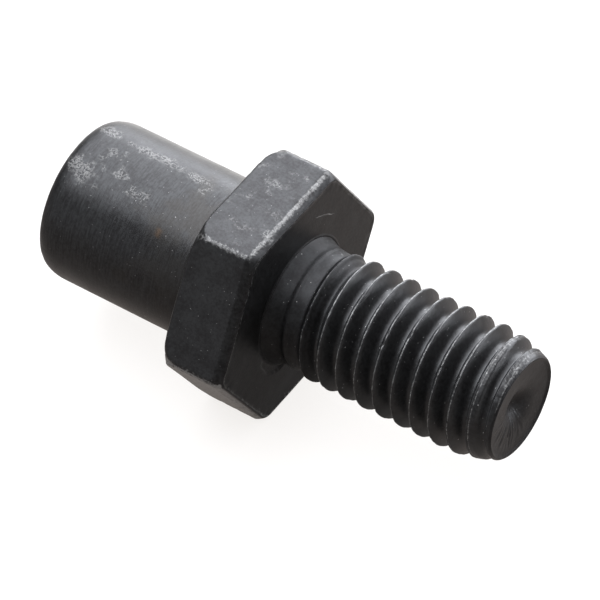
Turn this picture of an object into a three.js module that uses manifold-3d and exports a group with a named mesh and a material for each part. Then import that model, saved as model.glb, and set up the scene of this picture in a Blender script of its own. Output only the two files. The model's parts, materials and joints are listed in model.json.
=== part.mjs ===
// Hex collar stud: one turned and rolled piece of black-oxide steel, in millimetres, lying on a hex flat.
// +X runs along the axis from the boss to the thread, +Z is up, and the hexagon has corners at +Y and -Y.
import * as THREE from "three";
import { mergeVertices } from "three/addons/utils/BufferGeometryUtils.js";
import Module from "manifold-3d";

// Driving dimensions
const PITCH = 1.25; // M8 coarse, right-hand
const ACROSS_FLATS = 14;
const COLLAR_LENGTH = 4.2;
const BOSS_RADIUS = 5;
const BOSS_LENGTH = 11;
const SHANK_LENGTH = 15.1; // from the collar's seat to the cupped end
const CREST_RADIUS = 3.92; // a rolled M8 thread, a little under its nominal 4.00
const BLANK_RADIUS = 3.56; // the plain neck, and the blank that the thread was rolled on
const CREST_ROUND = 0.16; // radius on the thread's crests
const ROOT_ROUND = 0.18; // radius in the thread's roots

// Edges and blends
const BOSS_EDGE = { axial: 1.25, radial: 0.5 }; // rolled-over edge at the boss's free end
const BOSS_FILLET = 0.35; // where the boss meets the collar
const COLLAR_SEAT_EDGE = { axial: 0.6, radial: 0.26 }; // soft edge round the seat face
const COLLAR_CORNER_RADIUS = 8; // the hexagon's corners are turned down to this
const COLLAR_BACK_CHAMFER = { axial: 1.1, radial: 0.7 }; // at the corners on the boss side only
const NECK_FLARE = { axial: 1.4, radial: 0.42, bow: 1.6 }; // where the neck widens towards the seat face
const CREST_GROWTH = { start: 1.4, full: 3.1 }; // distances from the seat where crests begin and are full
const ROOT_GROWTH = { start: 1.7, full: 3.8 }; // and the same for the roots between them
const TIP = { taperStart: 12, radius: 3.18, bow: 1.8, edge: 0.1 }; // the thread is rolled down to this
const CUP = { radius: 2.98, rimDrop: 0.1, dish: 0.15 }; // the end face's mouth, under the rim, and its dish
const PIT = { spread: 0.95, depth: 0.62 }; // the hollow that rolling leaves in the middle of the dish

// Fineness
const TURN_SEGMENTS = 40;
const CORNER_SEGMENTS = 72;
const ROWS_PER_PITCH = 8;
const ARC_STEPS = 5;
const CUP_STEPS = 7;

// Places along the axis. The box round the whole stud is centred on x = 0.
const OVERALL_LENGTH = BOSS_LENGTH + COLLAR_LENGTH + SHANK_LENGTH;
const BOSS_END_X = -OVERALL_LENGTH / 2;
const COLLAR_BACK_X = BOSS_END_X + BOSS_LENGTH;
const SEAT_X = COLLAR_BACK_X + COLLAR_LENGTH;
const TIP_X = OVERALL_LENGTH / 2;
const AXIS_HEIGHT = ACROSS_FLATS / 2; // the stud lies on its lowest flat, at z = 0

const THREAD_PHASE = 0.76; // distance from the seat to a crest on the +Y side
const INSIDE_COLLAR_X = COLLAR_BACK_X + COLLAR_LENGTH / 2;

const wasm = await Module();
wasm.setup();

// Profile points on a quarter of an ellipse: [x, r] pairs, both ends included.
function quarterEllipse(centreX, centreR, axial, radial, fromAngle, toAngle, steps = ARC_STEPS) {
  const points = [];
  for (let i = 0; i <= steps; i++) {
    const angle = THREE.MathUtils.lerp(fromAngle, toAngle, i / steps);
    points.push([centreX + axial * Math.sin(angle), centreR + radial * Math.cos(angle)]);
  }
  return points;
}

// Turns a profile of [x, r] pairs, given from low x to high x, round the X axis.
function turn(profile, segments) {
  const points = profile.map(([x, r]) => new THREE.Vector2(r, x));
  return new THREE.LatheGeometry(points, segments).rotateZ(-Math.PI / 2);
}

// The thread's section at a distance from a crest: its height from the crest's top, never above 0.
function threadSection(distance) {
  const flankSlope = Math.sqrt(3); // 60 degree thread
  const crestSpan = CREST_ROUND * Math.cos(Math.PI / 6);
  const rootSpan = ROOT_ROUND * Math.cos(Math.PI / 6);
  const flankTop = -CREST_ROUND / 2;
  const flankFoot = flankTop - (PITCH / 2 - rootSpan - crestSpan) * flankSlope;
  if (distance < crestSpan) {
    return Math.sqrt(CREST_ROUND ** 2 - distance ** 2) - CREST_ROUND;
  }
  if (distance < PITCH / 2 - rootSpan) {
    return flankTop - (distance - crestSpan) * flankSlope;
  }
  const rootCentre = flankFoot + ROOT_ROUND / 2;
  return rootCentre - Math.sqrt(ROOT_ROUND ** 2 - (PITCH / 2 - distance) ** 2);
}

// How far rolling moves the blank's surface at this place: out at the crests, and in at the roots. Both
// grow with the distance from the collar, the crests first.
function threadRelief(fromSeat, angle) {
  const turns = angle / (2 * Math.PI);
  const along = THREE.MathUtils.euclideanModulo(fromSeat - THREAD_PHASE - PITCH * turns, PITCH);
  const distance = Math.min(along, PITCH - along);
  const full = CREST_RADIUS - BLANK_RADIUS + threadSection(distance);
  const growth = full > 0 ? CREST_GROWTH : ROOT_GROWTH;
  return full * THREE.MathUtils.smoothstep(fromSeat, growth.start, growth.full);
}

// The bowed taper that cuts the crests down towards the end.
function taperRadius(fromSeat) {
  const along = THREE.MathUtils.clamp((fromSeat - TIP.taperStart) / (SHANK_LENGTH - TIP.taperStart), 0, 1);
  return CREST_RADIUS - (CREST_RADIUS - TIP.radius) * along ** TIP.bow;
}

// Moves the blank's vertices in or out along their radius. The boss, the neck's flare and the cup stay.
function rollThread(geometry) {
  const position = geometry.getAttribute("position");
  for (let i = 0; i < position.count; i++) {
    const fromSeat = position.getX(i) - SEAT_X;
    const y = position.getY(i);
    const z = position.getZ(i);
    const radius = Math.hypot(y, z);
    if (Math.abs(radius - BLANK_RADIUS) < 1e-4) {
      const rolled = BLANK_RADIUS + threadRelief(fromSeat, Math.atan2(z, y));
      const scale = Math.min(rolled, taperRadius(fromSeat)) / radius;
      position.setY(i, y * scale);
      position.setZ(i, z * scale);
    }
  }
  return geometry;
}

// The boss's half of the profile: its end, its rolled edge, its side and the fillet into the collar.
function bossProfile() {
  const { axial, radial } = BOSS_EDGE;
  const filletX = COLLAR_BACK_X - BOSS_FILLET;
  const filletR = BOSS_RADIUS + BOSS_FILLET;
  return [
    [BOSS_END_X, 0],
    ...quarterEllipse(BOSS_END_X + axial, BOSS_RADIUS - radial, axial, radial, -Math.PI / 2, 0),
    ...quarterEllipse(filletX, filletR, BOSS_FILLET, BOSS_FILLET, Math.PI, Math.PI / 2, 3),
    [INSIDE_COLLAR_X, filletR],
  ];
}

// The neck's flare and the blank under the thread, in even rows.
function shankProfile() {
  const { axial, radial, bow } = NECK_FLARE;
  const rimX = TIP_X - TIP.edge;
  const rows = Math.round(((rimX - SEAT_X - axial) / PITCH) * ROWS_PER_PITCH);
  const points = [
    [INSIDE_COLLAR_X, BLANK_RADIUS + radial],
    [SEAT_X, BLANK_RADIUS + radial],
    [SEAT_X + axial / 2, BLANK_RADIUS + radial / 2 ** bow],
  ];
  for (let i = 0; i < rows; i++) {
    points.push([THREE.MathUtils.lerp(SEAT_X + axial, rimX, i / rows), BLANK_RADIUS]);
  }
  return points;
}

// The tip's rounded rim, and inside it the dish and the pit, down to the axis.
function tipProfile() {
  const { radius, edge } = TIP;
  const points = quarterEllipse(TIP_X - edge, radius - edge, edge, edge, 0, Math.PI / 2, 3);
  for (let i = 0; i <= CUP_STEPS; i++) {
    const outward = 1 - i / CUP_STEPS;
    const r = CUP.radius * outward;
    const dish = CUP.dish * (1 - outward ** 2);
    const pit = PIT.depth * Math.exp(-((r / PIT.spread) ** 2));
    points.push([TIP_X - CUP.rimDrop - dish - pit, r]);
  }
  return points;
}

function spindle() {
  return rollThread(turn([...bossProfile(), ...shankProfile(), ...tipProfile()], TURN_SEGMENTS));
}

// A hexagonal bar with a soft edge at both ends. It runs on past the collar's back, where the turning
// cuts it off.
function hexagonBar() {
  const { axial, radial } = COLLAR_SEAT_EDGE;
  const circumradius = ACROSS_FLATS / 2 / Math.cos(Math.PI / 6);
  const corners = [];
  for (let i = 0; i < 6; i++) {
    const angle = (i * Math.PI) / 3;
    corners.push(new THREE.Vector2(circumradius * Math.cos(angle), circumradius * Math.sin(angle)));
  }
  const bar = new THREE.ExtrudeGeometry(new THREE.Shape(corners), {
    depth: COLLAR_LENGTH,
    bevelEnabled: true,
    bevelThickness: axial,
    bevelSize: radial,
    bevelOffset: -radial,
    bevelSegments: 4,
  });
  bar.translate(0, 0, SEAT_X - axial - COLLAR_LENGTH);
  // The bar was drawn in X and Y along Z: turning the axes round puts its length on X and its corners on Y.
  return bar.applyMatrix4(new THREE.Matrix4().makeBasis(axisY, axisZ, axisX));
}

const axisX = new THREE.Vector3(1, 0, 0);
const axisY = new THREE.Vector3(0, 1, 0);
const axisZ = new THREE.Vector3(0, 0, 1);

// The turned outline that trims the bar: a flat back, eased corners behind, and corners at one radius.
function collarTurning() {
  const { axial, radial } = COLLAR_BACK_CHAMFER;
  const easedX = COLLAR_BACK_X + axial;
  const easedR = COLLAR_CORNER_RADIUS - radial;
  return turn([
    [COLLAR_BACK_X, 0],
    ...quarterEllipse(easedX, easedR, axial, radial, -Math.PI / 2, 0),
    [SEAT_X + 1, COLLAR_CORNER_RADIUS],
    [SEAT_X + 1, 0],
  ], CORNER_SEGMENTS);
}

// A closed three.js geometry as a manifold-3d solid, and back.
function solid(geometry) {
  const bare = geometry.index ? geometry.toNonIndexed() : geometry.clone();
  bare.deleteAttribute("normal");
  bare.deleteAttribute("uv");
  const merged = mergeVertices(bare, 1e-3);
  const vertProperties = merged.getAttribute("position").array;
  const triVerts = new Uint32Array(merged.index.array);
  return new wasm.Manifold(new wasm.Mesh({ numProp: 3, vertProperties, triVerts }));
}

function geometryOf(manifold) {
  const mesh = manifold.getMesh();
  const geometry = new THREE.BufferGeometry();
  geometry.setAttribute("position", new THREE.BufferAttribute(mesh.vertProperties, 3));
  geometry.setIndex(new THREE.BufferAttribute(mesh.triVerts, 1));
  geometry.computeVertexNormals();
  return geometry;
}

function hexCollarStud() {
  const collar = solid(hexagonBar()).intersect(solid(collarTurning()));
  const stud = solid(spindle()).add(collar);
  const blackOxide = new THREE.MeshStandardMaterial({ color: 0x2e2e30, roughness: 0.5, metalness: 0.85 });
  const mesh = new THREE.Mesh(geometryOf(stud), blackOxide);
  mesh.name = "hex_collar_stud";
  mesh.position.z = AXIS_HEIGHT;
  return mesh;
}

const part = new THREE.Group();
part.name = "hex_collar_stud_part";
part.add(hexCollarStud());

export default part;
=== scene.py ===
"""Looks for the hex collar stud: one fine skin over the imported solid, its worn black oxide, and a studio."""

import json
import math
import random

import bpy
import numpy as np
from mathutils import Matrix, Vector, noise


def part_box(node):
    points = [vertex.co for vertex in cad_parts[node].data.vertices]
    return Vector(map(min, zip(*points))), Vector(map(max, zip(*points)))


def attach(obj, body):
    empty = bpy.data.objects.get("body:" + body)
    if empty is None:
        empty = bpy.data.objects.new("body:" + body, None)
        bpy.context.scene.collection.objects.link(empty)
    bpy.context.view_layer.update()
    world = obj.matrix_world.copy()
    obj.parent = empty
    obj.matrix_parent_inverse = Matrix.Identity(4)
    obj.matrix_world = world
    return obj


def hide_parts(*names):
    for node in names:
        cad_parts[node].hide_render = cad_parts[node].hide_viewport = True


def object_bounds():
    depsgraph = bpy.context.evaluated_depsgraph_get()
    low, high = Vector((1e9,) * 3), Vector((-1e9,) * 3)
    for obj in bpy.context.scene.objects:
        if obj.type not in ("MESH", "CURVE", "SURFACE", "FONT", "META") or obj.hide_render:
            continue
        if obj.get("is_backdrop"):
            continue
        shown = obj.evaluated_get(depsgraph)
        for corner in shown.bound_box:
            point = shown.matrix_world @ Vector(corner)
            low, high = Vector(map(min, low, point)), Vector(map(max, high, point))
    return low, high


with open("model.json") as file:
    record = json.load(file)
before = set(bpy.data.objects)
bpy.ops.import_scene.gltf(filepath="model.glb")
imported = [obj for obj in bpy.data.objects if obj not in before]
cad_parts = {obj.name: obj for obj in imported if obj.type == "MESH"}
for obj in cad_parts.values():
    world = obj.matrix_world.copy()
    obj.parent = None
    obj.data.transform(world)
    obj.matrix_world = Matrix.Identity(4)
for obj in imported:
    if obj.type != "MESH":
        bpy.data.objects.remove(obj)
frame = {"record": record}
cad_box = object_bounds()
NODE = "hex_collar_stud"
MM = 0.001

# ---------------------------------------------------------------- places, in millimetres, from the frame
mounts = {m["name"]: m for m in frame["record"]["mounts"]}
low, high = (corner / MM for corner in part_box(NODE))
BOSS_END_X = low.x
TIP_X = high.x
COLLAR_BACK_X = mounts["collar_back"]["pos_m"][0] / MM
SEAT_X = mounts["collar_seat"]["pos_m"][0] / MM
AXIS_Z = mounts["boss_end"]["pos_m"][2] / MM
FLAT_RADIUS = (high.z - low.z) / 2
CORNER_RADIUS = (high.y - low.y) / 2

# ---------------------------------------------------------------- the stud's own sizes, in millimetres
PITCH = 1.25
BOSS_RADIUS = 5.0
CREST_RADIUS = 3.92
BLANK_RADIUS = 3.56
CREST_FLAT = 0.035  # half the width of the crests' flat tops
CREST_ROUND = 0.03
ROOT_ROUND = 0.06
ROOT_FLARE = 0.36  # radius that leads the flank facing the tip into the root
TIP_FLANK, BOSS_FLANK = 59, 67  # slopes of the flanks that face the tip and the boss, in degrees
BOSS_EDGE = (1.25, 0.5)  # along the axis, along the radius
BOSS_FILLET = 0.35
SEAT_EDGE = (0.6, 0.26)
SEAT_EDGE_BOW = 1.45  # 1 is a round edge, 2 a straight chamfer
CORNER_ROUND = (FLAT_RADIUS / math.cos(math.pi / 6) - CORNER_RADIUS) / (1 / math.cos(math.pi / 6) - 1)
BACK_EASE = (1.1, 0.7)
LIP = 0.02  # height of the fine ridge round the seat face
NECK_RING_RADIUS = 4.12
NECK_RING_HEIGHT = 0.045
NECK_FLARE = (1.0, 0.26)  # the curved flare at the seat: length and extra radius
NECK_BOW = 1.6
NECK_TAPER = (2.4, 0.16)  # the straight taper under it
NECK_FINISH_END = 3.2  # distance from the seat up to which the shank has the neck's finish
CREST_GROWTH = (0.5, 3.1)  # distances from the seat where crests begin and are full
ROOT_GROWTH = (1.7, 3.8)  # and the same for the roots between them
SHARPENING = (2.7, 4.2)  # and where the profile turns from a wave to its full form
SOFTNESS = 0.8  # how much rounder than the wave the first crests' feet are
TAPER_START = 12.0
TAPER_BOW = 1.8
TIP_RADIUS = 3.18
RIM_ROUND = 0.1
CUP_RADIUS = 2.98
CUP_MOUTH_DROP = 0.1
DISH = 0.15
PIT_SPREAD, PIT_DEPTH = 0.95, 0.62
THREAD_PHASE = 0.76  # distance from the seat to a crest on the +Y side
CHIP_RADIUS = 4.9  # the seat face has closer rings inside this, where its chip is
BACK_EDGE = 0.1
EDGE_SEEN = 0.5  # edge value of an edge that is a little worn; 1 is bare

# ---------------------------------------------------------------- fineness
STEPS_PER_SIDE = 36
COLUMNS = 6 * STEPS_PER_SIDE
ROWS_PER_PITCH = 24


def column_angles():
    """Angles round the axis from +Y towards +Z, closer together at the hexagon's corners."""
    crowding = 0.6
    step = np.arange(STEPS_PER_SIDE) / STEPS_PER_SIDE
    side = step - crowding * np.sin(2 * math.pi * step) / (2 * math.pi)
    return np.concatenate([(side + i) * math.pi / 3 for i in range(6)])


ANGLE = column_angles()
COS, SIN = np.cos(ANGLE), np.sin(ANGLE)
FROM_CORNER = np.abs((ANGLE + math.pi / 6) % (math.pi / 3) - math.pi / 6)


def smoothstep(value, start, end):
    t = np.clip((value - start) / (end - start), 0, 1)
    return t * t * (3 - 2 * t)


def grain(points, size, seed=0.0):
    """Smooth noise from -1 to 1 at points in millimetres, with bumps about size mm across."""
    flat = points.reshape(-1, 3) / size + seed
    return np.array([noise.noise(Vector(p)) for p in flat]).reshape(points.shape[:-1])


def hexagon(flat_radius, corner_round):
    """Radius of a round-cornered hexagon at each column."""
    centre = (flat_radius - corner_round) / math.cos(math.pi / 6)
    tangent = math.atan2(corner_round / 2, centre + corner_round * math.cos(math.pi / 6))
    arc_part = np.sqrt(np.maximum(corner_round**2 - (centre * np.sin(FROM_CORNER)) ** 2, 0))
    corner = centre * np.cos(FROM_CORNER) + arc_part
    return np.where(FROM_CORNER < tangent, corner, flat_radius / np.cos(math.pi / 6 - FROM_CORNER))


# ---------------------------------------------------------------- the skin, ring by ring
class Skin:
    """Rings of points from the boss's end to the cup's centre, each with an edge value and a finish."""

    def __init__(self):
        self.x, self.r, self.edge, self.finish = [], [], [], []

    def ring(self, x, r, edge=0.0, finish=0):
        for store, value in ((self.x, x), (self.r, r), (self.edge, edge)):
            store.append(np.broadcast_to(np.asarray(value, float), ANGLE.shape))
        self.finish.append(finish)


def quarter(steps):
    """Sine and cosine pairs of a turn of 90 degrees, without its first point."""
    turn = np.radians(np.linspace(0, 90, steps + 1))[1:]
    return zip(np.sin(turn), np.cos(turn))


TURNED, OXIDE, NECK, ROLLED, CUP = 0, 1, 2, 3, 4


def boss(skin):
    axial, radial = BOSS_EDGE
    for r in np.linspace(0.35, BOSS_RADIUS - radial, 12):
        skin.ring(BOSS_END_X, r, 0, TURNED)
    for s, c in quarter(10):
        x = BOSS_END_X + axial * (1 - c)
        skin.ring(x, BOSS_RADIUS - radial * (1 - s), EDGE_SEEN * s * c, TURNED)
    fillet_x = COLLAR_BACK_X - BOSS_FILLET
    for x in np.linspace(BOSS_END_X + axial, fillet_x, 32)[1:]:
        skin.ring(x, BOSS_RADIUS, 0, TURNED)
    for s, c in quarter(6):
        skin.ring(fillet_x + BOSS_FILLET * s, BOSS_RADIUS + BOSS_FILLET * (1 - c), 0, TURNED)


def side_exposure():
    """How much each of the hexagon's sides has been knocked, blended round its corners. Side 1 is on top."""
    knocked = np.array([0.5, 1.0, 0.25, 0.45, 0.6, 0.35])
    side = ANGLE / (math.pi / 3)
    here = side.astype(int)
    corner_blend = 0.08
    forward = smoothstep(side - here, 1 - corner_blend, 1) / 2
    back = smoothstep(here + 1 - side, 1 - corner_blend, 1) / 2
    other = forward * knocked[(here + 1) % 6] + back * knocked[here - 1]
    return (1 - forward - back) * knocked[here] + other


def collar(skin):
    exposure = side_exposure()
    at_corner = np.exp(-((FROM_CORNER * CORNER_RADIUS / 0.3) ** 2))
    axial, radial = BACK_EASE
    outline = np.minimum(hexagon(FLAT_RADIUS - BACK_EDGE, CORNER_ROUND), CORNER_RADIUS - radial)
    inner = BOSS_RADIUS + BOSS_FILLET
    for t in np.linspace(0, 1, 9)[1:]:
        skin.ring(COLLAR_BACK_X, inner + (outline - inner) * t, EDGE_SEEN * (t == 1), OXIDE)
    seat_axial, seat_radial = SEAT_EDGE
    side_end = SEAT_X - seat_axial
    full = hexagon(FLAT_RADIUS, CORNER_ROUND)
    for x in np.linspace(COLLAR_BACK_X + BACK_EDGE, side_end, 40):
        along = min((x - COLLAR_BACK_X) / axial, 1)
        eased = CORNER_RADIUS - radial * (1 - math.sqrt(1 - (1 - along) ** 2))
        near_seat = EDGE_SEEN * math.exp(-(((side_end - x) / 0.15) ** 2))
        near_ease = np.exp(-(((full - eased) / 0.05) ** 2)) * (along < 1)
        worn = np.maximum.reduce([0.75 * at_corner, near_seat * exposure, 0.6 * near_ease])
        skin.ring(x, np.minimum(full, eased), worn, OXIDE)
    for s, c in quarter(12):
        outline = hexagon(FLAT_RADIUS - seat_radial * (1 - c**SEAT_EDGE_BOW), CORNER_ROUND + 0.5 * s)
        worn = 0.9 * exposure * math.exp(-(((s - 0.35) / 0.45) ** 2))
        skin.ring(side_end + seat_axial * s**SEAT_EDGE_BOW, outline, worn, OXIDE)
    outline = hexagon(FLAT_RADIUS - seat_radial, CORNER_ROUND + 0.5)
    for inward, height in ((0.04, LIP), (0.08, LIP / 2), (0.12, 0)):
        skin.ring(SEAT_X + height, outline - inward, 0.7, OXIDE)
    outer = outline - 0.12
    for t in np.linspace(0, 1, 9)[1:]:
        skin.ring(SEAT_X, outer + (CHIP_RADIUS - outer) * t, 0, OXIDE)
    for r in np.linspace(CHIP_RADIUS, NECK_RING_RADIUS, 11)[1:]:
        skin.ring(SEAT_X, r, 0, OXIDE)


def thread_profile():
    """Places across one pitch from a crest's middle towards the tip, and the heights there below the crest.

    Four arcs, each a radius with its slopes at the start and end in degrees, joined by straight flanks."""
    bends = [(CREST_ROUND, 0, TIP_FLANK), (ROOT_FLARE, TIP_FLANK, 0), (ROOT_ROUND, 0, -BOSS_FLANK),
             (CREST_ROUND, -BOSS_FLANK, 0)]
    arcs = []
    for radius, start, end in bends:
        slope = np.radians(np.linspace(start, end, 13))
        way = math.copysign(radius, end - start)
        arcs.append((way * (np.sin(slope) - np.sin(slope[0])), way * (np.cos(slope) - np.cos(slope[0]))))
    down, up = math.radians(TIP_FLANK), math.radians(BOSS_FLANK)
    across = PITCH - 2 * CREST_FLAT - sum(arc[0][-1] for arc in arcs)
    fall = -sum(arc[1][-1] for arc in arcs)
    directions = [[math.cos(down), math.cos(up)], [-math.sin(down), math.sin(up)]]
    lengths = np.linalg.solve(directions, [across, fall])
    straights = [(CREST_FLAT, 0), (lengths[0] * math.cos(down), -lengths[0] * math.sin(down)), (0, 0),
                 (lengths[1] * math.cos(up), lengths[1] * math.sin(up))]
    x, h = [0.0], [0.0]
    for straight, arc in zip(straights, arcs):
        x.append(x[-1] + straight[0])
        h.append(h[-1] + straight[1])
        x += list(x[-1] + arc[0][1:])
        h += list(h[-1] + arc[1][1:])
    return np.array(x + [PITCH]), np.array(h + [0.0])


PROFILE = thread_profile()


def blank_radius(along):
    """Radius of the shank before rolling, a distance from the seat: it flares into the seat face."""
    flare = NECK_FLARE[1] * np.clip(1 - along / NECK_FLARE[0], 0, 1) ** NECK_BOW
    return BLANK_RADIUS + flare + NECK_TAPER[1] * np.clip(1 - along / NECK_TAPER[0], 0, 1)


def thread_ring(even):
    """Place along the shank, radius and edge value at each column, for a row an even distance from the seat.

    The row bends towards the nearest crest or root, where the surface turns most."""
    crowding = smoothstep(even, 1.0, 2.0) * (1 - smoothstep(even, 14.3, 14.8))
    turns = 2 * math.pi * (even - THREAD_PHASE) / PITCH - ANGLE
    to_crest, to_both = 0.4, 0.175
    shift = to_crest * np.sin(turns) + to_both * np.sin(2 * turns)
    along = even - PITCH * crowding * shift / (2 * math.pi)
    phase = (along - THREAD_PHASE - PITCH * ANGLE / (2 * math.pi)) % PITCH
    distance = np.minimum(phase, PITCH - phase)
    strength = smoothstep(along, *CREST_GROWTH)
    wave = PROFILE[1].min() * (1 - np.cos(2 * math.pi * phase / PITCH)) / 2
    sharpness = smoothstep(along, *SHARPENING)
    full = CREST_RADIUS - BLANK_RADIUS
    relief = full + (1 - sharpness) * wave + sharpness * np.interp(phase, *PROFILE)
    hump = np.clip(relief / full, 0, 1) ** (1 + SOFTNESS * (1 - sharpness))
    blank = blank_radius(along)
    dent = np.minimum(relief, 0) * smoothstep(along, *ROOT_GROWTH)
    rolled = blank + (CREST_RADIUS - blank) * strength * hump + dent
    narrowing = np.clip((along - TAPER_START) / (TIP_X - SEAT_X - TAPER_START), 0, 1)
    taper = CREST_RADIUS - (CREST_RADIUS - TIP_RADIUS) * narrowing**TAPER_BOW
    crest = np.exp(-((distance / 0.06) ** 2))
    cut_flat = smoothstep(rolled - taper, 0, 0.03) * smoothstep(along, 12.2, 13.2)
    topside = smoothstep(SIN, 0.5, 1.0)
    worn = strength * np.maximum(0.8 * crest, 0.6 * topside * cut_flat)
    return along, np.minimum(rolled, taper), worn


def shank(skin):
    ring_x = SEAT_X + NECK_RING_HEIGHT
    for x, inward in ((ring_x - 0.01, 0.03), (ring_x, 0.07), (ring_x - 0.01, 0.11), (SEAT_X + 0.015, 0.135)):
        skin.ring(x, NECK_RING_RADIUS - inward, 0.15, NECK)
    plain = CREST_GROWTH[0]
    for along in np.linspace(0.03, plain, 7):
        skin.ring(SEAT_X + along, blank_radius(along), 0, NECK)
    row = PITCH / ROWS_PER_PITCH
    for even in np.arange(plain + row, TIP_X - SEAT_X - RIM_ROUND, row):
        along, r, worn = thread_ring(even)
        skin.ring(SEAT_X + along, r, worn, ROLLED if even > NECK_FINISH_END else NECK)


def cup(skin):
    for s, c in quarter(6):
        worn = 0.1 + 0.3 * smoothstep(SIN, 0.3, 0.95)
        skin.ring(TIP_X - RIM_ROUND * (1 - s), TIP_RADIUS - RIM_ROUND * (1 - c), worn, CUP)
    for r in np.linspace(CUP_RADIUS, 0.1, 20):
        dish = DISH * (1 - (r / CUP_RADIUS) ** 2)
        pit = PIT_DEPTH * math.exp(-((r / PIT_SPREAD) ** 2))
        skin.ring(TIP_X - CUP_MOUTH_DROP - dish - pit, r, 0, CUP)


# ---------------------------------------------------------------- knocks, chips and unevenness
def outward(points):
    """Unit normals of the skin, from its neighbouring points."""
    along = np.gradient(points, axis=0)
    around = np.roll(points, -1, 1) - np.roll(points, 1, 1)
    normal = np.cross(around, along)
    return normal / np.linalg.norm(normal, axis=2, keepdims=True)


def on_thread(turn, angle):
    """A point on the thread's crest, a number of turns from the seat, at an angle in degrees."""
    a = math.radians(angle)
    x = SEAT_X + THREAD_PHASE + PITCH * (turn + angle / 360)
    return np.array([x, CREST_RADIUS * math.cos(a), CREST_RADIUS * math.sin(a)])


def thread_nicks():
    """Small dents on the crests: place, width and depth."""
    draw = random.Random(5)
    nicks = [(on_thread(8.4, 57), 0.3, 0.07), (on_thread(1.9, 100), 0.14, 0.06)]
    for _ in range(26):
        place = on_thread(draw.randint(1, 10), draw.uniform(0, 360))
        nicks.append((place, draw.uniform(0.08, 0.2), draw.uniform(0.02, 0.07)))
    return nicks


def seat_chip(points):
    """Depth of a crescent flake lifted from the seat face beside the neck, from 0 to 1."""
    y, z = points[..., 1], points[..., 2]
    radius, angle = np.hypot(y, z), np.arctan2(z, y)
    bow = np.cos(np.clip((angle - math.radians(-137)) * 3.8, -math.pi / 2, math.pi / 2))
    outer = 4.12 + 0.6 * bow + 0.1 * grain(points, 0.3, 3.0)
    inside = smoothstep(outer - radius, 0, 0.08) * smoothstep(radius, 4.1, 4.3) * (bow > 0.02)
    return inside * (np.abs(points[..., 0] - SEAT_X) < 0.03)


def weather(points, edge):
    """The skin after a life in a tool box: points moved along their normals, and the wear at each."""
    normal = outward(points)
    coarse = grain(points, 2.4, 11.0)
    fine = grain(points, 0.8, 4.0)
    lumpy = grain(points, 0.45, 7.0)
    on_boss = points[..., 0] < COLLAR_BACK_X - BOSS_FILLET
    lift = np.where(on_boss, 0.005 * coarse + 0.004 * fine, 0.011 * coarse + 0.004 * fine)
    lift = lift - 0.10 * edge * np.clip(lumpy + 0.05, 0, 1) - 0.03 * edge * np.clip(fine + 0.2, 0, 1)
    for place, width, depth in thread_nicks():
        near = np.exp(-np.sum((points - place) ** 2, axis=2) / width**2)
        lift = lift - depth * near
        edge = np.maximum(edge, 0.8 * near * (depth > 0.04))
    lift = lift - 0.095 * seat_chip(points)
    return points + normal * lift[..., None], edge


def folded_part(angle):
    """1 in the part of the cup that is folded, 0 well away from it."""
    middle = math.radians(-135)
    return smoothstep(np.cos(angle - middle), 0.2, 0.8)


def cup_folds(points):
    """Radial folds that rolling pressed into the cup: a shift along the axis."""
    radius = np.hypot(points[..., 1], points[..., 2])
    angle = np.arctan2(points[..., 2], points[..., 1])
    spokes = np.stack([np.cos(angle) * 4, np.sin(angle) * 4, radius * 0.5], axis=2)
    strength = smoothstep(radius, 0.2, 0.9) * (1 - smoothstep(radius, 2.2, 2.75))
    return 0.05 * strength * folded_part(angle) * grain(spokes, 0.42, 2.0)


def scuffing(points, finishes):
    """How scuffed the skin is: patches on the boss, the hexagon's sides and the folds of the cup; on the
    hexagon's low side it is scuffing and also painted reflection, a lightening that stands in for the bright
    floor that side mirrors.

    Each patch has a distance from the boss's end, an angle in degrees, a length, a width and a strength."""
    patches = [(1.2, 74, 0.9, 0.6, 1.2), (4.6, 76, 3.0, 0.55, 1.0), (7.5, 79, 0.9, 0.5, 1.1)]
    patches += [(0.9, 109, 0.8, 0.9, 0.9), (3.2, 104, 1.8, 0.6, 0.72), (5.4, 110, 1.8, 0.7, 0.72)]
    patches += [(8.5, 84, 1.6, 1.0, 0.6), (1.8, 112, 1.3, 1.1, 0.75), (2.5, 92, 1.6, 1.0, 0.6)]
    patches += [(2.5, 235, 1.5, 0.6, 0.8), (6.5, 300, 2.4, 0.5, 0.7), (8.0, 200, 1.2, 0.8, 0.6)]
    angle = np.arctan2(points[..., 2], points[..., 1])
    scuff_and_sheen = np.zeros(angle.shape)
    for from_end, degrees, length, width, strength in patches:
        turn = (angle - math.radians(degrees) + math.pi) % (2 * math.pi) - math.pi
        along = (points[..., 0] - BOSS_END_X - from_end) / length
        scuff_and_sheen = np.maximum(scuff_and_sheen, strength * np.exp(-(along**2) - (BOSS_RADIUS * turn / width) ** 2))
    sides = np.array([0.4, 0.42, 0.1, 1.8, 0.5, 0.4])  # side 3 is the low one towards -Y; its high value is scuffing and also painted reflection of the floor
    rubbed = sides[(ANGLE / (math.pi / 3)).astype(int)]
    on_side = (np.array(finishes) == OXIDE)[:, None] * (points[..., 0] < SEAT_X - 0.1)
    in_cup = (np.array(finishes) == CUP)[:, None] * folded_part(angle)
    return np.where(on_side, rubbed, scuff_and_sheen * (points[..., 0] < COLLAR_BACK_X) + 0.25 * in_cup)


def rusting(points):
    """Brown places: the seat face's flake and a spot on the boss."""
    turn = math.radians(127)
    spot = np.array([BOSS_END_X + 7.6, BOSS_RADIUS * math.cos(turn), BOSS_RADIUS * math.sin(turn)])
    near = np.exp(-np.sum(((points - spot) / [0.2, 0.3, 0.3]) ** 2, axis=2))
    return np.maximum(0.8 * smoothstep(near, 0.3, 0.7), seat_chip(points))


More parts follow.
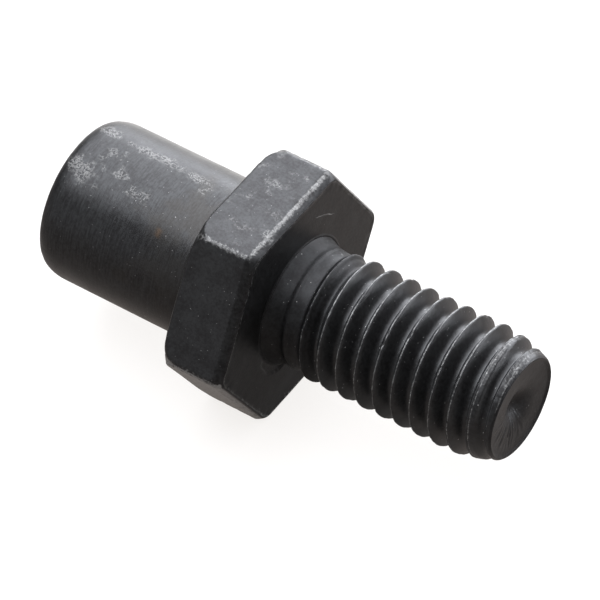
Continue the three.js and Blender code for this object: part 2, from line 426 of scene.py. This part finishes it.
def build_mesh(skin, name):
    """One closed mesh from the rings, with a point at each end."""
    x, r = np.array(skin.x), np.array(skin.r)
    rings = len(x)
    points = np.stack([x, r * COS, r * SIN], axis=2)
    in_cup = (np.array(skin.finish) == CUP)[:, None]
    points, wear = weather(points, np.array(skin.edge))
    points[..., 0] += cup_folds(points) * in_cup
    scuff_and_sheen, rust = scuffing(points, skin.finish), rusting(points)
    ends = [(points[0, :, 0].mean(), 0, 0), (points[-1, :, 0].mean(), 0, 0)]
    flat = (np.concatenate([points.reshape(-1, 3), ends]) + [0, 0, AXIS_Z]) * MM
    first, last = rings * COLUMNS, rings * COLUMNS + 1
    index = np.arange(COLUMNS)
    beside = np.roll(index, -1)
    faces = [(first, b, a) for a, b in zip(index, beside)]
    for j in range(rings - 1):
        a, b = j * COLUMNS, (j + 1) * COLUMNS
        faces += [(a + i, a + k, b + k, b + i) for i, k in zip(index, beside)]
    end = (rings - 1) * COLUMNS
    faces += [(last, end + a, end + b) for a, b in zip(index, beside)]
    mesh = bpy.data.meshes.new(name)
    mesh.from_pydata(flat.tolist(), [], [tuple(map(int, f)) for f in faces])
    finish = np.repeat(skin.finish[1:], COLUMNS)
    finish = np.concatenate([np.full(COLUMNS, skin.finish[0]), finish, np.full(COLUMNS, skin.finish[-1])])
    mesh.polygons.foreach_set("material_index", finish.astype(np.int32))
    mesh.polygons.foreach_set("use_smooth", np.ones(len(mesh.polygons), bool))
    for label, value in (("wear", wear), ("scuff_and_sheen", scuff_and_sheen), ("rust", rust)):
        attribute = mesh.attributes.new(label, "FLOAT", "POINT")
        attribute.data.foreach_set("value", np.concatenate([value.ravel(), [0, 0]]))
    mesh.update()
    return mesh


# ---------------------------------------------------------------- finishes
class Finish:
    """A material, with short ways to add the nodes that drive its principled shader."""

    def __init__(self, name):
        self.material = bpy.data.materials.new(name)
        self.material.use_nodes = True
        self.tree = self.material.node_tree
        self.shader = self.tree.nodes["Principled BSDF"]

    def link(self, value, socket):
        """Joins a socket, or writes a plain number or colour into it."""
        if isinstance(value, bpy.types.NodeSocket):
            self.tree.links.new(value, socket)
        else:
            socket.default_value = value

    def node(self, kind, inputs, **settings):
        made = self.tree.nodes.new(kind)
        for setting, value in settings.items():
            setattr(made, setting, value)
        for key, value in inputs.items():
            self.link(value, made.inputs[key])
        return made

    def place(self, stretch=(1, 1, 1)):
        """Millimetres in the part's frame, times a stretch along each axis."""
        where = self.node("ShaderNodeTexCoord", {}).outputs["Object"]
        scale = tuple(s / MM for s in stretch)
        return self.node("ShaderNodeMapping", {"Vector": where, "Scale": scale}).outputs["Vector"]

    def noise(self, vector, scale, detail=3.0, roughness=0.55):
        inputs = {"Vector": vector, "Scale": scale, "Detail": detail, "Roughness": roughness}
        return self.node("ShaderNodeTexNoise", inputs).outputs["Fac"]

    def attribute(self, name):
        return self.node("ShaderNodeAttribute", {}, attribute_name=name).outputs["Fac"]

    def math(self, operation, a, b=0.0):
        return self.node("ShaderNodeMath", {0: a, 1: b}, operation=operation).outputs[0]

    def ramp(self, value, start, end, low=0.0, high=1.0):
        """The value eased from low to high as it goes from start to end."""
        inputs = {"Value": value, "From Min": start, "From Max": end, "To Min": low, "To Max": high}
        return self.node("ShaderNodeMapRange", inputs, interpolation_type="SMOOTHSTEP").outputs["Result"]

    def mix(self, factor, a, b):
        """Colour a where the factor is 0, and colour b where it is 1."""
        colour_a, colour_b, colour_out = 6, 7, 2  # the mix node's colour sockets
        made = self.node("ShaderNodeMix", {}, data_type="RGBA")
        for value, socket in ((factor, 0), (a, colour_a), (b, colour_b)):
            self.link(value, made.inputs[socket])
        return made.outputs[colour_out]

    def specks(self, per_mm, radius, share, seed):
        """Small round dots: 1 inside them. The share says how many of the cells have one."""
        vector = self.node("ShaderNodeVectorMath", {0: self.place(), 1: (seed, seed, seed)}).outputs[0]
        cells = self.node("ShaderNodeTexVoronoi", {"Vector": vector, "Scale": per_mm})
        chosen = self.node("ShaderNodeSeparateColor", {"Color": cells.outputs["Color"]}).outputs[0]
        dot = self.ramp(cells.outputs["Distance"], radius * per_mm, radius * per_mm * 0.6)
        return self.math("MULTIPLY", dot, self.math("LESS_THAN", chosen, share))

    def finish(self, colour, metallic, roughness, height, depth):
        self.link(colour, self.shader.inputs["Base Color"])
        self.link(metallic, self.shader.inputs["Metallic"])
        self.link(roughness, self.shader.inputs["Roughness"])
        bump = self.node("ShaderNodeBump", {"Height": height, "Strength": 1.0, "Distance": depth * MM})
        self.link(bump.outputs["Normal"], self.shader.inputs["Normal"])
        return self.material


def grey(level, tint=(1, 1, 1)):
    return (level * tint[0], level * tint[1], level * tint[2], 1)


OXIDE_DARK, OXIDE_LIGHT = grey(0.015, (1.04, 1, 1.02)), grey(0.028, (0.99, 1, 1.02))
BARE = grey(0.13, (1.02, 1, 0.97))  # scuffed and dusty metal
BROWN = grey(0.024, (1.12, 1, 0.86))
RUST = grey(0.028, (1.5, 1, 0.65))
DUST = grey(0.4, (1.02, 1, 0.98))
OXIDE_ROUGHNESS = 0.38


def worn_away(look, place, fine):
    """How far the oxide has gone: ragged along edges, and in whitish veins where rubbed."""
    net = look.noise(place, 3.2, 5.0, 0.75)
    breadth = look.ramp(look.attribute("scuff_and_sheen"), 1.2, 1.8, 0.055, 0.16)
    veins = look.ramp(look.math("ABSOLUTE", look.math("SUBTRACT", net, 0.5)), breadth, 0.0)
    edge = look.math("MULTIPLY", look.attribute("wear"), 0.6)
    edge = look.ramp(look.math("ADD", edge, look.math("MULTIPLY", fine, 0.8)), 0.7, 0.95)
    edge = look.math("MULTIPLY", edge, look.math("ADD", look.math("MULTIPLY", veins, 0.6), 0.4))
    patchy = look.math("MULTIPLY", look.noise(place, 1.1, 3.0, 0.6), 0.9)
    rubbed = look.math("ADD", look.math("MULTIPLY", look.attribute("scuff_and_sheen"), 0.62), patchy)
    rubbed = look.math("MULTIPLY", look.ramp(rubbed, 0.72, 1.0), veins)
    return look.math("MAXIMUM", edge, rubbed)


def dusted(look, colour, strength):
    """The colour with specks of dust on it, and where they are."""
    dots = look.math("MAXIMUM", look.specks(1.3, 0.035, 0.4, 0.0), look.specks(2.6, 0.03, 0.3, 9.0))
    dots = look.math("MAXIMUM", dots, look.specks(4.5, 0.022, 0.25, 21.0))
    dots = look.math("MULTIPLY", dots, strength)
    return look.mix(dots, colour, DUST), dots


def turned_oxide():
    """The boss: fine rings left by the lathe, blued black, with scuffs and a spot of rust."""
    look = Finish("turned_oxide")
    place = look.place()
    split = look.node("ShaderNodeSeparateXYZ", {"Vector": place})
    square = look.math("ADD", look.math("POWER", split.outputs["Y"], 2.0),
                       look.math("POWER", look.math("SUBTRACT", split.outputs["Z"], AXIS_Z), 2.0))
    tool_path = look.math("ADD", split.outputs["X"], look.math("SQRT", square))
    across, along = 11.0, 1.1  # the rings' noise scales
    stretched = {"X": look.math("MULTIPLY", tool_path, across),
                 "Y": look.math("MULTIPLY", split.outputs["Y"], along),
                 "Z": look.math("MULTIPLY", split.outputs["Z"], along)}
    rings = look.node("ShaderNodeCombineXYZ", stretched).outputs[0]
    lines = look.noise(rings, 1.0, 4.0, 0.75)
    mottle = look.noise(place, 0.55, 4.0)
    fine = look.noise(place, 5.5, 5.0, 0.7)
    tone = look.math("ADD", look.math("MULTIPLY", lines, 0.6), look.math("MULTIPLY", fine, 0.4))
    colour = look.mix(look.ramp(tone, 0.4, 0.6), OXIDE_DARK, OXIDE_LIGHT)
    towards_collar = look.ramp(split.outputs["X"], -11.0, -5.0, -0.15, 0.12)
    brown = look.ramp(look.math("ADD", mottle, towards_collar), 0.45, 0.7)
    colour = look.mix(look.math("MULTIPLY", brown, 0.35), colour, BROWN)
    colour = look.mix(look.attribute("rust"), colour, RUST)
    worn = worn_away(look, place, fine)
    colour, dust = dusted(look, look.mix(worn, colour, BARE), strength=0.35)
    metallic = look.ramp(look.math("MAXIMUM", worn, dust), 0, 1, 0.9, 0.4)
    uneven = look.math("ADD", look.math("MULTIPLY", lines, 0.5), look.math("MULTIPLY", mottle, 0.5))
    roughness = look.ramp(uneven, 0.3, 0.7, OXIDE_ROUGHNESS - 0.05, OXIDE_ROUGHNESS + 0.08)
    height = look.math("ADD", lines, look.math("MULTIPLY", worn, 0.6))
    return look.finish(colour, metallic, roughness, height, 0.01)


def seat_scratch(look, place):
    """A fine scratch across the seat face above the neck: 1 in the scratch."""
    middle = (SEAT_X, 2.81, AXIS_Z + 4.63)
    local = look.node("ShaderNodeVectorMath", {0: place, 1: middle}, operation="SUBTRACT").outputs[0]
    ways = []
    for direction in ((0, 0.803, -0.597), (0, 0.597, 0.803), (1, 0, 0)):
        dot = look.node("ShaderNodeVectorMath", {0: local, 1: direction}, operation="DOT_PRODUCT")
        ways.append(dot.outputs["Value"])
    wobble = look.math("MULTIPLY", look.math("SUBTRACT", look.noise(place, 1.2, 2.0), 0.5), 0.5)
    across = look.math("ABSOLUTE", look.math("ADD", ways[1], wobble))
    length = look.ramp(look.math("ABSOLUTE", ways[0]), 1.25, 0.8)
    on_face = look.ramp(look.math("ABSOLUTE", ways[2]), 0.1, 0.05)
    return look.math("MULTIPLY", look.math("MULTIPLY", look.ramp(across, 0.035, 0.01), length), on_face)


def mottled_oxide(look, place, dustiness):
    """Colour, wear and fine grain shared by the collar, the thread and the end."""
    fine = look.noise(place, 6.0, 5.0, 0.65)
    cloud = look.noise(place, 1.0, 5.0, 0.65)
    tone = look.math("ADD", look.math("MULTIPLY", cloud, 0.45), look.math("MULTIPLY", fine, 0.55))
    colour = look.mix(look.ramp(tone, 0.37, 0.63), OXIDE_DARK, OXIDE_LIGHT)
    colour = look.mix(look.attribute("rust"), colour, RUST)
    worn = look.math("MAXIMUM", worn_away(look, place, fine), seat_scratch(look, place))
    colour, dust = dusted(look, look.mix(worn, colour, BARE), dustiness)
    return colour, look.math("MAXIMUM", worn, dust), fine


def black_oxide(name, metallic, roughest, depth, dustiness):
    """Black oxide with its edges rubbed to grey, and as much dust on it as dustiness says."""
    look = Finish(name)
    colour, worn, fine = mottled_oxide(look, look.place(), dustiness)
    uneven = look.math("ADD", fine, look.math("MULTIPLY", worn, 0.4))
    roughness = look.ramp(uneven, 0.3, 0.7, roughest - 0.12, roughest)
    return look.finish(colour, look.ramp(worn, 0, 1, metallic, 0.4), roughness, fine, depth)


def matt_oxide():
    """The collar."""
    return black_oxide("black_oxide", metallic=0.9, roughest=0.46, depth=0.006, dustiness=0.35)


def neck_oxide():
    """The neck, dull with dust."""
    return black_oxide("neck_oxide", metallic=0.96, roughest=0.58, depth=0.004, dustiness=0.7)


def rolled_oxide():
    """The thread, which rolling left smoother but dust has dulled."""
    return black_oxide("rolled_oxide", metallic=0.72, roughest=0.43, depth=0.002, dustiness=0.8)


def cupped_end():
    """The end of the thread: the same oxide over folds that run in towards the pit."""
    look = Finish("cupped_end")
    place = look.place()
    colour, worn, fine = mottled_oxide(look, place, dustiness=0.4)
    split = look.node("ShaderNodeSeparateXYZ", {"Vector": place})
    height = look.math("SUBTRACT", split.outputs["Z"], AXIS_Z)
    angle = look.math("ARCTAN2", height, split.outputs["Y"])
    folds = look.node("ShaderNodeCombineXYZ", {"X": look.math("MULTIPLY", angle, 7.0)}).outputs[0]
    streaks = look.noise(folds, 1.0, 4.0, 0.65)
    streaks = look.math("MULTIPLY", streaks, look.ramp(look.attribute("scuff_and_sheen"), 0.0, 0.5, 0.3, 2.0))
    relief = look.math("ADD", streaks, fine)
    return look.finish(colour, look.ramp(worn, 0, 1, 0.9, 0.4), OXIDE_ROUGHNESS + 0.04, relief, 0.012)


skin = Skin()
boss(skin)
collar(skin)
shank(skin)
cup(skin)
stud = bpy.data.objects.new("stud_skin", build_mesh(skin, "stud_skin"))
bpy.context.scene.collection.objects.link(stud)
for finish in (turned_oxide, matt_oxide, neck_oxide, rolled_oxide, cupped_end):
    stud.data.materials.append(finish())
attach(stud, "root")
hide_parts(NODE)


# ---------------------------------------------------------------- floor, light and camera
SEEN_GREY, SEEN_GLOW = 0.1, 0.84
# MIRRORED_GREY and MIRRORED_GLOW are for a glowing sheet that only reflections and bounce light see: a painted
# reflection of the floor
MIRRORED_GREY, MIRRORED_GLOW = 0.05, 0.32
PAINTED_GLARE_GLOW, PAINTED_SHADE_GLOW = 1.9, 0.14  # glow of the two small planes that only mirrors see: a painted glare behind the stud and a painted shade under the seat face
JUST_UNDER, WELL_UNDER = -0.00005, -0.0001


def plain_finish(name, grey, glow, tint):
    material = bpy.data.materials.new(name)
    material.use_nodes = True
    shader = material.node_tree.nodes["Principled BSDF"]
    shader.inputs["Base Color"].default_value = (grey, grey, grey, 1)
    shader.inputs["Roughness"].default_value = 0.9
    shader.inputs["Emission Color"].default_value = (*tint, 1)
    shader.inputs["Emission Strength"].default_value = glow
    return material


def plane(name, height, grey, glow, tint, x=(-2, 2), y=(-2, 2)):
    mesh = bpy.data.meshes.new(name)
    corners = [(x[0], y[0], height), (x[1], y[0], height), (x[1], y[1], height), (x[0], y[1], height)]
    mesh.from_pydata(corners, [], [(0, 1, 2, 3)])
    mesh.materials.append(plain_finish(name, grey, glow, tint))
    piece = bpy.data.objects.new(name, mesh)
    bpy.context.scene.collection.objects.link(piece)
    piece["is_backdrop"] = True
    return piece


def floor():
    """A white light table, and just under it a greyer glowing sheet that only reflections and bounce light
    see: a painted reflection of the floor.

    In the reflections it has painted shade under the seat face and a painted glare behind the stud."""
    table = plane("floor", 0, SEEN_GREY, SEEN_GLOW, (1, 0.975, 0.95))
    table.visible_glossy = False
    table.visible_shadow = False
    # a glowing sheet hidden from the camera: painted reflection of the floor
    mirrored = plane("painted_floor_reflection", WELL_UNDER, MIRRORED_GREY, MIRRORED_GLOW, (1.15, 0.98, 0.88))
    mirrored.visible_camera = False
    # a dim sheet that only mirrors see: painted shade reflected in the seat face and the thread's underside
    near = plane("painted_shade_in_reflections", JUST_UNDER, 0.05, PAINTED_SHADE_GLOW, (1.1, 0.98, 0.9), (0, 0.013), (-0.008, 0.006))
    near.visible_camera = False
    near.visible_diffuse = False
    # a bright sheet that only mirrors see: a painted glare along the boss's and the thread's upper outlines
    behind = plane("painted_glare_in_reflections", JUST_UNDER, 0.1, PAINTED_GLARE_GLOW, (1, 0.97, 0.94), (-0.06, 0), (0.0105, 0.05))
    behind.visible_camera = False
    behind.visible_diffuse = False


def softbox(name, away, size, radiance, towards=(0, 0, 0.007)):
    """A rectangular light at the point away, facing the point towards, both in metres."""
    data = bpy.data.lights.new(name, "AREA")
    data.shape = "RECTANGLE"
    data.size, data.size_y = size
    data.energy = radiance * math.pi * size[0] * size[1]
    data.color = (0.96, 0.99, 1.05)
    lamp = bpy.data.objects.new(name, data)
    bpy.context.scene.collection.objects.link(lamp)
    lamp.location = away
    lamp.rotation_euler = (Vector(towards) - Vector(away)).to_track_quat("-Z", "Y").to_euler()
    lamp.visible_camera = False


def camera():
    """Looks at the middle of the seat face, where the thread begins."""
    azimuth, elevation, roll = (math.radians(a) for a in (36.8, 48.25, -2.96))
    distance, lens = 0.281, 294.0
    target = Vector((SEAT_X, 0, AXIS_Z)) * MM
    level = math.cos(elevation)
    away = Vector((math.sin(azimuth) * level, -math.cos(azimuth) * level, math.sin(elevation)))
    data = bpy.data.cameras.new("camera")
    data.lens = lens
    data.sensor_width = 36
    data.clip_start, data.clip_end = 0.01, 10
    cam = bpy.data.objects.new("camera", data)
    bpy.context.scene.collection.objects.link(cam)
    turn = (-away).to_track_quat("-Z", "Y") @ Matrix.Rotation(roll, 3, "Z").to_quaternion()
    cam.rotation_mode = "QUATERNION"
    cam.rotation_quaternion = turn
    cam.location = target + away * distance
    bpy.context.scene.camera = cam


def surroundings(grey):
    world = bpy.data.worlds.new("studio")
    world.use_nodes = True
    world.node_tree.nodes["Background"].inputs["Color"].default_value = (grey, grey, grey, 1)
    bpy.context.scene.world = world


floor()
softbox("key_softbox", (-0.215, 0.125, 0.327), (0.35, 1.0), 8.6, (-0.215, 0, 0.007))
softbox("key_edge", (0.035, 0.125, 0.327), (0.15, 1.0), 4.0, (0.035, 0, 0.007))
softbox("key_spill", (0.21, 0.125, 0.327), (0.2, 1.0), 2.0, (0.21, 0, 0.007))
softbox("right_softbox", (0.5, 0.2, 0.06), (0.9, 0.2), 1.5)
softbox("back_softbox", (0.15, 0.55, 0.1), (1.3, 0.28), 8.0)
softbox("fill_softbox", (-0.35, -0.5, 0.15), (0.6, 0.4), 1.0)
surroundings(0.23)
camera()
bpy.context.scene.view_settings.view_transform = "Standard"

visual_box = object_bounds()
boxes = {"cad": cad_box, "visual": visual_box}
{name: [list(corner) for corner in box] for name, box in boxes.items()}
